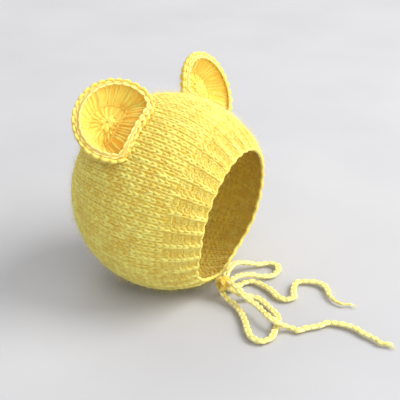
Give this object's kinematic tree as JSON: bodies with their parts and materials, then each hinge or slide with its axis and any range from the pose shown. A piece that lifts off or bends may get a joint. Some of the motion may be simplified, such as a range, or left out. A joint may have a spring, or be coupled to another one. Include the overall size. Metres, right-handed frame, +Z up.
{
  "type": "baby hat with ears",
  "caption": "Knitted newborn bonnet in fuzzy yellow yarn with cupped crocheted bear ears, tied in a bow and lying on a surface.",
  "frame": {"origin": "middle of the underside of the bonnet and ears, on the surface they lie on", "axes": "+Z up, -Y the way the face opening looks, +X towards the wearer's left ear"},
  "size_m": [0.1384, 0.1993, 0.1247],
  "materials": {
    "bonnet_yarn": "matt fuzzy knit",
    "ear_yarn": "matt fuzzy crochet",
    "tie_yarn": "matt crochet chain"
  },
  "bodies": {
    "root": {"bonnet": "bonnet_yarn", "ear_right": "ear_yarn", "ear_left": "ear_yarn", "bow_knot": "tie_yarn", "tie_loop_left": "tie_yarn", "tie_loop_right": "tie_yarn", "tie_tail_left": "tie_yarn", "tie_tail_right": "tie_yarn"}
  },
  "joints": []
}
